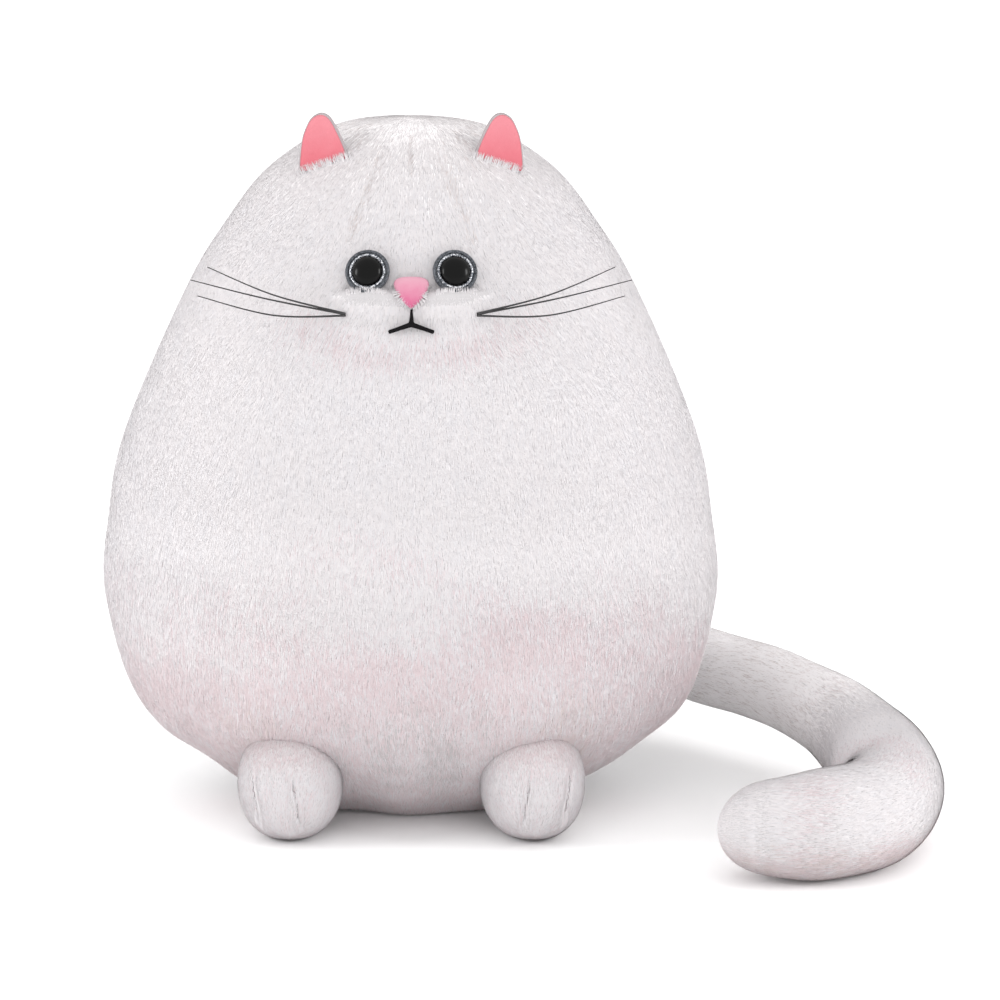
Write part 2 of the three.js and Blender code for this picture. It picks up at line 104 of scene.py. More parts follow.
# ---------------------------------------------------------------- camera
def add_camera():
    """The photograph's view: a long lens, slightly above, looking along +Y."""
    distance, elevation, target = 1.1, math.radians(10), Vector((0, 0, 0.122))
    data = bpy.data.cameras.new("camera")
    data.lens = 96.6
    data.sensor_width = 36
    data.shift_x = 0.0887
    camera = bpy.data.objects.new("camera", data)
    bpy.context.scene.collection.objects.link(camera)
    camera.location = target + distance * Vector((0, -math.cos(elevation), math.sin(elevation)))
    camera.rotation_euler = (math.radians(90) - elevation, 0, 0)
    bpy.context.scene.camera = camera


# ---------------------------------------------------------------- small maths helpers
def unit(vectors):
    length = np.linalg.norm(vectors, axis=-1, keepdims=True)
    return vectors / np.maximum(length, 1e-12)


def smoothstep(x, low, high):
    t = np.clip((x - low) / (high - low), 0, 1)
    return t * t * (3 - 2 * t)


def bell(x, width):
    return np.exp(-((x / width) ** 2))


def catmull(points, t):
    """Points of a uniform Catmull-Rom curve at each t from 0 to 1."""
    spans = len(points) - 1
    place = np.clip(np.atleast_1d(np.asarray(t, float)), 0, 1) * spans
    i = np.minimum(place.astype(int), spans - 1)
    f = (place - i)[:, None]
    start, end = points[i], points[i + 1]
    v0 = (end - points[np.maximum(i - 1, 0)]) / 2
    v1 = (points[np.minimum(i + 2, spans)] - start) / 2
    return ((2 * start - 2 * end + v0 + v1) * f**3 + (3 * end - 3 * start - 2 * v0 - v1) * f**2
            + v0 * f + start)


def evenly(points, count):
    """The curve through the points, resampled at equal distances."""
    fine = catmull(np.asarray(points, float), np.linspace(0, 1, 2000))
    run = np.append(0, np.cumsum(np.linalg.norm(np.diff(fine, axis=0), axis=1)))
    at = np.linspace(0, run[-1], count)
    return np.stack([np.interp(at, run, fine[:, k]) for k in range(fine.shape[1])], axis=1)


def lumps(points, size, seed, waves=7):
    """Smooth, even-tempered noise from -1 to 1, whose lumps are about size across."""
    random = np.random.default_rng(seed)
    total = np.zeros(len(points))
    for _ in range(waves):
        direction = unit(random.normal(size=3)) * random.uniform(0.7, 1.4) * math.pi / size
        total += np.sin(points @ direction + random.uniform(0, 2 * math.pi))
    return total / math.sqrt(waves)


# ---------------------------------------------------------------- the shape of the body
def side_table():
    """Radius, height and their slopes along the side of the body, from the base edge to the top."""
    points = evenly(SIDE_CURVE, 400)
    return points, unit(np.gradient(points, axis=0))


SIDE_POINTS, SIDE_SLOPES = side_table()


def body_spot(x, z, facing=-1):
    """Points of the CAD body surface at x and height z, with the directions straight out of it."""
    x, z = np.broadcast_arrays(np.atleast_1d(np.asarray(x, float)), np.asarray(z, float))
    radius = np.interp(z, SIDE_POINTS[:, 1], SIDE_POINTS[:, 0])
    run = np.interp(z, SIDE_POINTS[:, 1], SIDE_SLOPES[:, 0])
    rise = np.maximum(np.interp(z, SIDE_POINTS[:, 1], SIDE_SLOPES[:, 1]), 0.02)
    y = facing * BODY_DEPTH_RATIO * np.sqrt(np.maximum(radius**2 - x**2, 0))
    out = unit(np.stack([x, y / BODY_DEPTH_RATIO**2, -radius * run / rise], axis=1))
    return np.stack([x, y, z], axis=1), out


def groove(x, z, line, width, depth):
    """Depth of a crease that follows a line of (x, z) points and fades out at its ends."""
    line = evenly(line, 60)
    gap = np.hypot(x[:, None] - line[:, 0], z[:, None] - line[:, 1])
    nearest = gap.argmin(axis=1) / (len(line) - 1)
    fade = np.sin(math.pi * np.clip(0.08 + 0.84 * nearest, 0, 1)) ** 0.5
    return depth * bell(gap.min(axis=1), width) * fade


def mound(x, z, radius, width):
    """Share of a cushion that swells against the lower side of a round piece of a given radius."""
    distance = np.hypot(x, z)
    outside = distance - radius
    shape = np.where(outside > 0, bell(outside, width), smoothstep(outside, -0.0022, 0))
    return shape * smoothstep(-z / np.maximum(distance, 1e-6), 0.1, 0.95)


def cheek(x, z):
    """Share of the cushion whose level top covers the lowest part of an eye; x, z from the eye's middle."""
    rise = smoothstep(-z, EYE_COVER - 0.9 * MM, EYE_COVER + 0.9 * MM)
    fall = smoothstep(z, -0.0185, -EYE_RADIUS)
    return rise * fall * smoothstep(0.0150 - np.abs(x), 0, 0.0105)


# Creases in the front: their line, as (distance from the middle, height) points, their width and depth.
BROW_CREASE = [(0.0120, 0.2640), (0.0160, 0.2530), (0.0205, 0.2420), (0.0225, 0.2340)], 1.6 * MM, 0.9 * MM
CROWN_CREASE = [(0.0, 0.2710), (0.0, 0.2650), (0.0, 0.2600)], 1.4 * MM, 0.8 * MM
CHIN_CREASE = [(0.0, 0.1915), (0.0180, 0.1925), (0.0340, 0.1975), (0.0450, 0.2035)], 4.5 * MM, 0.3 * MM


def body_relief(points):
    """How far the stuffed body stands out of (or in from) its plain shape."""
    x, y, z = points.T
    front = smoothstep(-y, 0.005, 0.03)
    away = np.abs(x)
    relief = 0.35 * MM * lumps(points, 0.045, 3)
    relief += front * 1.3 * MM * bell(np.hypot(away - 0.011, (z - 0.204) * 1.1), 0.012)  # muzzle
    relief += front * 0.9 * MM * bell(np.hypot(away - WHISKER_X, z - WHISKER_Z), 0.005)  # whisker pads
    relief += front * 4.3 * MM * cheek(away - EYE_X, z - EYE_Z)
    relief += front * 1.0 * MM * mound(x, z - NOSE_Z - 0.001, 0.5 * NOSE_HEIGHT, 0.0035)  # under the nose
    relief += 0.7 * MM * smoothstep(z, 0.262, 0.275)  # crown
    relief -= front * 0.6 * MM * bell(np.hypot(away - EYE_X, z - EYE_Z), 0.014)  # eye hollows
    for line, width, depth in (BROW_CREASE, CROWN_CREASE, CHIN_CREASE):
        relief -= front * groove(away, z, line, width, depth)
    belly = front * smoothstep(-z, -0.095, -0.045)
    relief += belly * 0.8 * MM * lumps(points * (1.8, 0.6, 0.8), 0.03, 11)
    relief += front * 4.0 * MM * bell(away - PAW_CENTRE[0], 0.017) * bell(z - 0.046, 0.018)  # thighs
    return relief


# ---------------------------------------------------------------- plush colours
# The second shade is a lighter white that is painted on as light; DUN is only painted on as shade, and
# BLUSH and BEIGE are plush tones that are also painted on as shade in places.
WHITE, PAINTED_LIGHT, COOL, BLUSH, BEIGE, DUN = range(6)
SHADES = np.array(
    [(0.705, 0.676, 0.684), (0.930, 0.905, 0.910), (0.675, 0.658, 0.675), (0.655, 0.560, 0.575),
     (0.620, 0.555, 0.540), (0.525, 0.500, 0.505)]
)


def body_zones(points):
    """Share of each plush colour at points of the body; some shares are painted shade (lower belly, between
    and beside the paws, creases, ear bases, chin) and painted light (crown).
    """
    x, y, z = points.T
    front = smoothstep(-y, 0.0, 0.03)
    away = np.abs(x)
    patch = lumps(points * (1, 1, 1.4), 0.032, 21)
    zones = np.zeros((len(points), len(SHADES)))
    zones[:, COOL] = 0.35 + 0.1 * lumps(points, 0.05, 5)
    # Pink lower belly, below where the belly turns down: a pink tone with painted shade mixed in.
    edge = 0.104 + 0.006 * patch - 0.25 * np.maximum(away - 0.05, 0)
    belly = front * smoothstep(edge - z, -0.02, 0.04)
    zones[:, BLUSH] = belly * (0.7 + 0.2 * patch)
    # Painted shade between the paws: a darker dun in vertical streaks.
    stripes = 0.5 + 0.5 * np.sin(away / 0.0042 + 0.8 * patch)
    between_paws = front * smoothstep(0.068 - z, 0, 0.025) * smoothstep(z, 0.0, 0.04)
    between_paws *= smoothstep(0.04 - away, 0, 0.02)
    zones[:, DUN] = between_paws * (0.05 + 0.5 * stripes)
    # Painted shade low on the front, above and beside the paws.
    zones[:, BEIGE] = 0.35 * front * smoothstep(0.07 - z, 0, 0.03) * bell(away - 0.062, 0.012)
    # Painted shade in the brow and crown creases.
    for line, width, _ in (BROW_CREASE, CROWN_CREASE):
        zones[:, BEIGE] += front * groove(away, z, line, width, 0.28)
    # Painted shade by the inner base of each ear.
    zones[:, BEIGE] += 0.12 * bell(np.hypot(away - 0.022, z - 0.272), 0.009)
    # Painted light on the crown: no cool shade there, and a lighter white along its top edge.
    crown = smoothstep(z, 0.235, 0.275)
    zones[:, COOL] *= 1 - crown
    zones[:, PAINTED_LIGHT] = 0.1 * crown + 0.6 * smoothstep(z, 0.266, 0.277)
    # Painted shade along the chin crease, in blush.
    chin, chin_width, _ = CHIN_CREASE
    zones[:, BLUSH] += front * groove(away, z, chin, 1.5 * chin_width, 0.4)
    return finished_zones(zones)


def tail_zones(points):
    """The tail: a lighter white near the body, painted light against the shade it lies in; towards its end
    white, with a pink-beige underside that is partly painted shade.
    """
    _, y, z = points.T
    patch = lumps(points, 0.02, 31)
    zones = np.zeros((len(points), len(SHADES)))
    # Painted light near the body, where the tail lies in the body's shade.
    near = smoothstep(y, -0.05, 0.01)
    zones[:, PAINTED_LIGHT] = near
    zones[:, COOL] = 0.3 * (1 - near)
    # Painted shade on the underside, in blush and beige over the pink tone.
    under = smoothstep(-z, -0.022, -0.006)
    zones[:, BEIGE] = near * (0.1 + 0.05 * patch)
    zones[:, BLUSH] = (1 - near) * (0.7 * under + 0.2 * patch)
    zones[:, BEIGE] += (1 - near) * under * 0.3
    return finished_zones(zones)


def paw_zones(points):
    """Paws are white and cool with a light blush; the extra blush on top, where they meet the body, and
    towards the floor is painted shade.
    """
    zones = np.zeros((len(points), len(SHADES)))
    height = points[:, 2]
    # Painted shade: more blush and no cool shade on the paw's top, and more blush towards the floor.
    top = smoothstep(height, 0.028, 0.040)
    zones[:, COOL] = 0.5 * (1 - top)
    zones[:, BLUSH] = 0.15 + 0.2 * smoothstep(-height, -0.015, -0.003) + 0.4 * top
    return finished_zones(zones)


def plain_zones(points):
    """White with some of the cool shade all over, for the ears and the fringes."""
    zones = np.zeros((len(points), len(SHADES)))
    zones[:, COOL] = 0.4
    return finished_zones(zones)


def finished_zones(zones):
    """Shares between 0 and 1 that add up to 1, the rest being white."""
    zones = np.clip(zones, 0, 1)
    zones[:, WHITE] = 0
    total = zones.sum(axis=1, keepdims=True)
    zones /= np.maximum(total, 1)
    zones[:, WHITE] = 1 - zones.sum(axis=1)
    return zones


# ---------------------------------------------------------------- materials
def new_material(name, colour, roughness, **sockets):
    """A Principled material; further sockets are set by their names, with _ for a space."""
    material = bpy.data.materials.new(name)
    material.use_nodes = True
    shader = material.node_tree.nodes["Principled BSDF"]
    shader.inputs["Base Color"].default_value = (*colour, 1)
    shader.inputs["Roughness"].default_value = roughness
    for socket, value in sockets.items():
        shader.inputs[socket.replace("_", " ")].default_value = value
    return material, shader


def add_node(material, kind, inputs=None, **settings):
    node = material.node_tree.nodes.new(kind)
    for name, value in settings.items():
        setattr(node, name, value)
    for name, value in (inputs or {}).items():
        if isinstance(value, bpy.types.NodeSocket):
            material.node_tree.links.new(value, node.inputs[name])
        else:
            node.inputs[name].default_value = value
    return node


def link(material, output, socket):
    material.node_tree.links.new(output, socket)


def plush_material():
    """The fabric under the pile: its colour comes from the zones, with a fine combed grain, darkened as
    painted shade for the pile's own shadowing.
    """
    material, shader = new_material("plush_skin", SHADES[WHITE], 0.95, Sheen_Weight=0.05,
                                    Sheen_Roughness=0.5, Specular_IOR_Level=0.1)
    place = add_node(material, "ShaderNodeTexCoord").outputs["Object"]
    combed = add_node(material, "ShaderNodeMapping", {"Vector": place, "Scale": (1, 1, 0.25)})
    grain = add_node(material, "ShaderNodeTexNoise",
                     {"Vector": combed.outputs[0], "Scale": 900.0, "Detail": 3.0})
    tint = add_node(material, "ShaderNodeAttribute", attribute_name="tint")
    # Painted shade: the skin is kept at 0.66 to 0.78 of its zone colour, darker than the pile, as the
    # pile's shadow; the noise gives it grain.
    shade = add_node(material, "ShaderNodeMapRange",
                     {"Value": grain.outputs["Fac"], "To Min": 0.66, "To Max": 0.78})
    mixed = add_node(material, "ShaderNodeVectorMath",
                     {0: tint.outputs["Color"], "Scale": shade.outputs[0]}, operation="SCALE")
    bump = add_node(material, "ShaderNodeBump",
                    {"Height": grain.outputs["Fac"], "Strength": 0.3, "Distance": 0.0005})
    link(material, mixed.outputs[0], shader.inputs["Base Color"])
    link(material, bump.outputs[0], shader.inputs["Normal"])
    return material


def pile_materials():
    """One plain material for each shade of the pile."""
    names = ("pile_white", "pile_painted_light", "pile_cool", "pile_blush", "pile_beige", "pile_dun")
    return [new_material(name, colour, 0.95, Specular_IOR_Level=0.05)[0]
            for name, colour in zip(names, SHADES)]


def satin_material(name, top, low, heights, grain_size):
    """Short-napped satin that turns from the low to the top colour between two heights."""
    material, shader = new_material(name, top, 0.7, Sheen_Weight=0.1, Sheen_Roughness=0.35,
                                    Specular_IOR_Level=0.15)
    place = add_node(material, "ShaderNodeTexCoord").outputs["Object"]
    height = add_node(material, "ShaderNodeSeparateXYZ", {0: place}).outputs["Z"]
    mottle = add_node(material, "ShaderNodeTexNoise", {"Vector": place, "Scale": 260.0, "Detail": 4.0})
    blend = add_node(material, "ShaderNodeMapRange",
                     {"Value": height, "From Min": heights[0], "From Max": heights[1]})
    share = add_node(material, "ShaderNodeMath",
                     {0: mottle.outputs["Fac"], 1: 0.6, 2: blend.outputs[0]}, operation="MULTIPLY_ADD")
    shifted = add_node(material, "ShaderNodeMath", {0: share.outputs[0], 1: 0.3}, operation="SUBTRACT")
    shifted.use_clamp = True
    mixed = add_node(material, "ShaderNodeMix", {"Factor": shifted.outputs[0]}, data_type="RGBA")
    mixed.inputs["A"].default_value = (*low, 1)
    mixed.inputs["B"].default_value = (*top, 1)
    grain = add_node(material, "ShaderNodeTexNoise",
                     {"Vector": place, "Scale": grain_size, "Detail": 2.0})
    bump = add_node(material, "ShaderNodeBump",
                    {"Height": grain.outputs["Fac"], "Strength": 0.5, "Distance": 0.0003})
    link(material, mixed.outputs["Result"], shader.inputs["Base Color"])
    link(material, bump.outputs[0], shader.inputs["Normal"])
    return material


def thread_material(name, colour):
    """Twisted thread, whose twist's bands are painted shade and light."""
    material, shader = new_material(name, colour, 0.8, Specular_IOR_Level=0.1)
    place = add_node(material, "ShaderNodeTexCoord").outputs["Object"]
    twist = add_node(material, "ShaderNodeTexWave", {"Vector": place, "Scale": 700.0, "Distortion": 2.0},
                     bands_direction="DIAGONAL")
    # Painted shade and light along the twist: 0.6 to 1.3 times the thread's colour.
    shade = add_node(material, "ShaderNodeMix", {"Factor": twist.outputs["Fac"]}, data_type="RGBA")
    shade.inputs["A"].default_value = (*(0.6 * np.array(colour)), 1)
    shade.inputs["B"].default_value = (*(1.3 * np.array(colour)), 1)
    bump = add_node(material, "ShaderNodeBump",
                    {"Height": twist.outputs["Fac"], "Strength": 0.6, "Distance": 0.0002})
    link(material, shade.outputs["Result"], shader.inputs["Base Color"])
    link(material, bump.outputs[0], shader.inputs["Normal"])
    return material


def moulded_material(name, colour, roughness, **sockets):
    """Moulded plastic with slight unevenness in its gloss."""
    material, shader = new_material(name, colour, roughness, **sockets)
    place = add_node(material, "ShaderNodeTexCoord").outputs["Object"]
    cloud = add_node(material, "ShaderNodeTexNoise", {"Vector": place, "Scale": 120.0})
    gloss = add_node(material, "ShaderNodeMapRange", {"Value": cloud.outputs["Fac"],
                     "To Min": 0.8 * roughness, "To Max": 1.2 * roughness})
    link(material, gloss.outputs[0], shader.inputs["Roughness"])
    return material


def glitter_material(name, dark, bright, metallic, limits):
    """Flakes of random shades: dark below the first limit, bright above the second, mixed between."""
    material, shader = new_material(name, bright, 0.3, Metallic=metallic, Specular_IOR_Level=0.3)
    place = add_node(material, "ShaderNodeTexCoord").outputs["Object"]
    flakes = add_node(material, "ShaderNodeTexVoronoi", {"Vector": place, "Scale": 2600.0})
    ramp = add_node(material, "ShaderNodeValToRGB", {"Fac": flakes.outputs["Color"]})
    for element, limit, colour in zip(ramp.color_ramp.elements, limits, (dark, bright)):
        element.position = limit
        element.color = (*colour, 1)
    bump = add_node(material, "ShaderNodeBump",
                    {"Height": flakes.outputs["Color"], "Strength": 0.5, "Distance": 0.0002})
    link(material, ramp.outputs["Color"], shader.inputs["Base Color"])
    link(material, bump.outputs[0], shader.inputs["Normal"])
    return material


def fibre_material():
    """Loose polyester fibre."""
    material, shader = new_material("fibre", (0.88, 0.87, 0.84), 1.0)
    place = add_node(material, "ShaderNodeTexCoord").outputs["Object"]
    strands = add_node(material, "ShaderNodeTexNoise", {"Vector": place, "Scale": 400.0, "Detail": 6.0})
    bump = add_node(material, "ShaderNodeBump", {"Height": strands.outputs["Fac"], "Distance": 0.002})
    link(material, bump.outputs[0], shader.inputs["Normal"])
    return material


PLUSH = plush_material()
PILE = pile_materials()
PINK_SATIN = satin_material("ear_satin", (0.640, 0.218, 0.252), (0.600, 0.152, 0.184),
                            heights=(0.262, 0.276), grain_size=3000.0)
# The nose turns darker towards its bottom and lighter on top: painted shade and light over its bulge.
NOSE_SATIN = satin_material("nose_satin", (0.600, 0.310, 0.385), (0.535, 0.120, 0.235),
                            heights=(NOSE_Z - 0.4 * NOSE_HEIGHT, NOSE_Z + 0.5 * NOSE_HEIGHT),
                            grain_size=3500.0)
BLACK_THREAD = thread_material("black_thread", (0.007, 0.006, 0.007))
WHITE_THREAD = thread_material("white_thread", (0.66, 0.60, 0.61))
# The toe thread is dark grey as painted shade for the bottom of the toe creases.
TOE_THREAD = thread_material("toe_thread", (0.42, 0.37, 0.39))
PUPIL = moulded_material("eye_pupil", (0.001, 0.001, 0.001), 0.2, Specular_IOR_Level=0.15)
EYE_CUP = glitter_material("eye_cup", (0.002, 0.004, 0.006), (0.135, 0.145, 0.165),
                           metallic=0.1, limits=(0.1, 1))
GLITTER = glitter_material("eye_glitter", (0.06, 0.07, 0.09), (0.95, 0.96, 1.0),
                           metallic=0.5, limits=(0.35, 0.85))
WHISKER = moulded_material("nylon", (0.02, 0.019, 0.02), 0.4)
FIBRE = fibre_material()
WHITE_PLASTIC = moulded_material("white_plastic", (0.6, 0.57, 0.58), 0.9)
BEAD_CLOTH = thread_material("bead_cloth", (0.5, 0.47, 0.42))


# ---------------------------------------------------------------- meshes
def add_mesh(name, points, faces, materials, smooth=True):
    mesh = bpy.data.meshes.new(name)
    mesh.from_pydata(np.asarray(points).tolist(), [], [tuple(int(i) for i in face) for face in faces])
    for material in materials:
        mesh.materials.append(material)
    mesh.polygons.foreach_set("use_smooth", np.full(len(mesh.polygons), smooth))
    mesh.update()
    piece = bpy.data.objects.new(name, mesh)
    bpy.context.scene.collection.objects.link(piece)
    return piece


def grid_faces(rows, columns):
    """Quads over a grid of points whose columns close into rings."""
    r, c = np.meshgrid(np.arange(rows - 1), np.arange(columns), indexing="ij")
    here, beside = r * columns + c, r * columns + (c + 1) % columns
    return np.stack([here, beside, beside + columns, here + columns], axis=-1).reshape(-1, 4)


def ring_skin(rings):
    """A closed skin from rings of points, as points and faces; the first and last ring are capped."""
    rows, columns, _ = rings.shape
    ends = np.array([rings[0].mean(axis=0), rings[-1].mean(axis=0)])
    points = np.concatenate([rings.reshape(-1, 3), ends])
    first, last = len(points) - 2, len(points) - 1
    faces = [tuple(face) for face in grid_faces(rows, columns)]
    for k in range(columns):
        after = (k + 1) % columns
        faces.append((first, after, k))
        faces.append((last, (rows - 1) * columns + k, (rows - 1) * columns + after))
    return points, faces


def revolved(profile, spot, out, sides=64):
    """Rings of a turned shape from (radius, height) points, seated on a spot with its axis along out."""
    profile = np.asarray(profile, float)
    side = unit(np.cross((0, 0, 1), out))
    up = np.cross(out, side)
    angle = np.linspace(0, 2 * math.pi, sides, endpoint=False)
    ring = np.cos(angle)[:, None] * side + np.sin(angle)[:, None] * up
    return spot + profile[:, None, :1] * ring + profile[:, None, 1:] * out


def tube(points, radii, sides=10):
    """Rings along a line of points."""
    points = np.asarray(points, float)
    along = unit(np.gradient(points, axis=0))
    side = unit(np.cross(along, (0.02, 0.01, 1)))
    up = np.cross(side, along)
    angle = np.linspace(0, 2 * math.pi, sides, endpoint=False)
    ring = np.cos(angle)[:, None, None] * side + np.sin(angle)[:, None, None] * up
    return points[:, None] + np.transpose(ring, (1, 0, 2)) * np.asarray(radii)[:, None, None]


class Skin:
    """A plush surface to grow pile on: points, outward normals, comb directions and faces."""

    def __init__(self, name, rings, comb, zones):
        self.points, self.faces = ring_skin(rings)
        self.object = add_mesh(name, self.points, self.faces, [PLUSH])
        normals = np.zeros(len(self.points) * 3, np.float32)
        self.object.data.vertex_normals.foreach_get("vector", normals)
        self.normals = normals.reshape(-1, 3).astype(float)
        combed = comb(self.points)
        across = (combed * self.normals).sum(axis=1, keepdims=True)
        self.comb = unit(combed - across * self.normals)
        self.zones = zones(self.points)
        tint = self.object.data.color_attributes.new("tint", "FLOAT_COLOR", "POINT")
        colours = np.concatenate([self.zones @ SHADES, np.ones((len(self.points), 1))], axis=1)
        tint.data.foreach_set("color", colours.ravel())

    def nearest(self, points):
        """The nearest point of the skin to each point."""
        tree = BVHTree.FromPolygons(self.points.tolist(), self.faces)
        return np.array([tree.find_nearest(point)[0][:] for point in points.tolist()])


def triangles_of(faces):
    found = []
    for face in faces:
        found.append((face[0], face[1], face[2]))
        if len(face) == 4:
            found.append((face[0], face[2], face[3]))
    return np.array(found)


def grow_pile(name, skin, per_mm2, length, seed, keep, lift=PILE_LIFT, hug=True):
    """Tapered blades scattered over a skin. keep(points) gives each point's chance of a blade.

    With hug the blades follow the curves of the skin; without it they grow straight, which is quicker.
    """
    random = np.random.default_rng(seed)
    corners = triangles_of(skin.faces)
    a, b, c = (skin.points[corners[:, k]] for k in range(3))
    area = np.linalg.norm(np.cross(b - a, c - a), axis=1) / 2
    count = int(area.sum() / MM**2 * per_mm2)
    pick = random.choice(len(corners), count, p=area / area.sum())
    u, v = random.random((2, count, 1))
    over = u + v > 1
    u, v = np.where(over, 1 - u, u), np.where(over, 1 - v, v)

    def spread(values):
        first, second, third = (values[corners[pick, k]] for k in range(3))
        return first + u * (second - first) + v * (third - first)

    root, normal, comb, zones = (spread(x) for x in (skin.points, skin.normals, skin.comb, skin.zones))
    kept = random.random(count) < keep(root)
    root, normal, comb, zones = root[kept], normal[kept], comb[kept], zones[kept]
    count = len(root)
    normal, comb = unit(normal), unit(comb)
    side = np.cross(comb, normal)
    swirl = 0.12 * lumps(root, 0.012, seed + 1) + random.normal(0, 0.1, count)
    flow = unit(comb * np.cos(swirl)[:, None] + side * np.sin(swirl)[:, None])
    size = (length * random.uniform(0.65, 1.15, count))[:, None]
    rise = lift * random.uniform(0.85, 1.15, (count, 1))
    rise[random.random(count) < STRAY_SHARE] *= STRAY_LIFT
    root = root - normal * ROOT_DEPTH
    tip = root + size * flow
    if hug:
        tip = skin.nearest(tip)
    return add_blades(name, root, tip + size * rise * normal, normal, PILE_WIDTH, zones, random)


def add_blades(name, root, tip, normal, width, zones, random):
    """Three-cornered blades that lie flat to the skin, shaded in loose tufts by the shares in zones."""
    count = len(root)
    across = unit(np.cross(tip - root, normal))
    half = (width / 2 * random.uniform(0.7, 1.2, count))[:, None] * across
    points = np.stack([root - half, root + half, tip], axis=1).reshape(-1, 3)
    points[:, 2] = np.maximum(points[:, 2], FLOOR_GAP)
    mesh = bpy.data.meshes.new(name)
    mesh.vertices.add(count * 3)
    mesh.vertices.foreach_set("co", points.ravel())
    mesh.loops.add(count * 3)
    mesh.loops.foreach_set("vertex_index", np.arange(count * 3))
    mesh.polygons.add(count)
    mesh.polygons.foreach_set("loop_start", np.arange(count) * 3)
    for material in PILE:
        mesh.materials.append(material)
    tufts = 0.35 * lumps(root * (1, 1, 0.35), 0.003, 77) + random.normal(0, 1, count)
    share = tufts.argsort().argsort() / count
    shade = (zones.cumsum(axis=1) < share[:, None]).sum(axis=1)
    mesh.polygons.foreach_set("material_index", np.minimum(shade, len(PILE) - 1))
    mesh.update(calc_edges=True)
    piece = bpy.data.objects.new(name, mesh)
    bpy.context.scene.collection.objects.link(piece)
    return piece


def skin_at(points):
    """The front skin of the body at the x and z of each point."""
    spots, out = body_spot(points[:, 0], points[:, 2])
    return spots + out * (body_relief(spots) - SKIN_INSET)[:, None]


def grow_fringe(name, edge, inward, face, reach, cover, height, per_mm, seed):
    """Pile rooted in the skin up to reach outside an edge, whose tips lie over the piece inside it."""
    random = np.random.default_rng(seed)
    steps = np.linalg.norm(np.diff(edge, axis=0), axis=1)
    count = int(steps.sum() / MM * per_mm)
    place = random.uniform(0, len(edge) - 1, count)
    known = np.arange(len(edge))

    def at(values):
        return np.stack([np.interp(place, known, values[:, k]) for k in range(3)], axis=1)

    spot, inward = at(edge), unit(at(inward))
    sideways = np.cross(inward, face) * random.normal(0, 0.15, count)[:, None]
    root = skin_at(spot - inward * reach * random.uniform(0.1, 1, (count, 1))) - face * FRINGE_ROOT_DEPTH
    tip = spot + (inward + sideways) * cover * random.uniform(0, 1, (count, 1))
    tip += face * height * random.uniform(0.9, 1.05, (count, 1))
    return add_blades(name, root, tip, face, FRINGE_WIDTH, plain_zones(root), random)


# ---------------------------------------------------------------- body
def body_rings():
    """Rings of the body skin from the middle of the base to the top."""
    base_rows, side_rows, columns = 12, 236, 300
    side = evenly(SIDE_CURVE, side_rows)
    slope = unit(np.gradient(side, axis=0))
    side = side - SKIN_INSET * np.stack([slope[:, 1], -slope[:, 0]], axis=1)
    side[0, 1] = SKIN_INSET
    side = np.maximum(side, (0.0004, SKIN_INSET))
    base_radii = np.linspace(0.05, 0.97, base_rows) * side[0, 0]
    base = np.stack([base_radii, np.full(base_rows, SKIN_INSET)], axis=1)
    side = np.concatenate([base, side])
    angle = np.linspace(0, 2 * math.pi, columns, endpoint=False)
    depth = (BODY_DEPTH_RATIO * BODY_HALF_WIDTH - SKIN_INSET) / (BODY_HALF_WIDTH - SKIN_INSET)
    ring = np.stack([np.sin(angle), -depth * np.cos(angle)], axis=1)
    rings = np.empty((len(side), columns, 3))
    rings[..., :2] = side[:, None, :1] * ring
    rings[..., 2] = side[:, None, 1]
    return rings


def pushed_out(rings, relief):
    """Rings moved along their surface's normals by relief(points)."""
    down = np.gradient(rings, axis=0)
    around = np.roll(rings, -1, axis=1) - np.roll(rings, 1, axis=1)
    normal = unit(np.cross(around, down))
    return rings + normal * relief(rings.reshape(-1, 3)).reshape(*rings.shape[:2], 1)


def combed_down(points):
    """The pile hangs down the body, and fans out a little from the middle of the face."""
    x, y, z = points.T
    comb = np.zeros_like(points)
    comb[:, 2] = -1
    fan = smoothstep(-y, 0.0, 0.03) * smoothstep(z, 0.16, 0.21)
    comb[:, 0] = fan * np.clip(x / 0.05, -1, 1) * 0.5
    comb[:, 1] = smoothstep(-z, -0.006, -0.001)
    return comb


def clear_of_face(points):
    """Chance of pile at each point: none under the eyes and nose."""
    x, y, z = points.T
    eye = np.hypot(np.abs(x) - EYE_X, z - EYE_Z - 0.0015) < EYE_RADIUS * 0.95
    nose = np.hypot(x / 0.0062, (z - NOSE_Z - 0.001) / 0.005) < 1
    return np.where((y < 0) & (eye | nose), 0.0, 1.0)


def body_part(points, side, low, high):
    """Chance of pile for one part of the body: its front or back, between two heights."""
    _, y, z = points.T
    on_side = y < BACK_START if side == "front" else y >= BACK_START
    return clear_of_face(points) * (on_side & (z > low) & (z <= high))


def make_body():
    rings = pushed_out(body_rings(), body_relief)
    skin = Skin("plush_body", rings, combed_down, body_zones)
    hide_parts("front_panel", "back_panel_left", "back_panel_right", "base_panel")
    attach(skin.object, "body")
    for number, (name, side, density, length, low, high) in enumerate(BODY_PILE):
        pile = grow_pile(name, skin, density, length, 1000 + 10 * number,
                         lambda points: body_part(points, side, low, high), hug=name == "pile_face")
        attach(pile, "body")


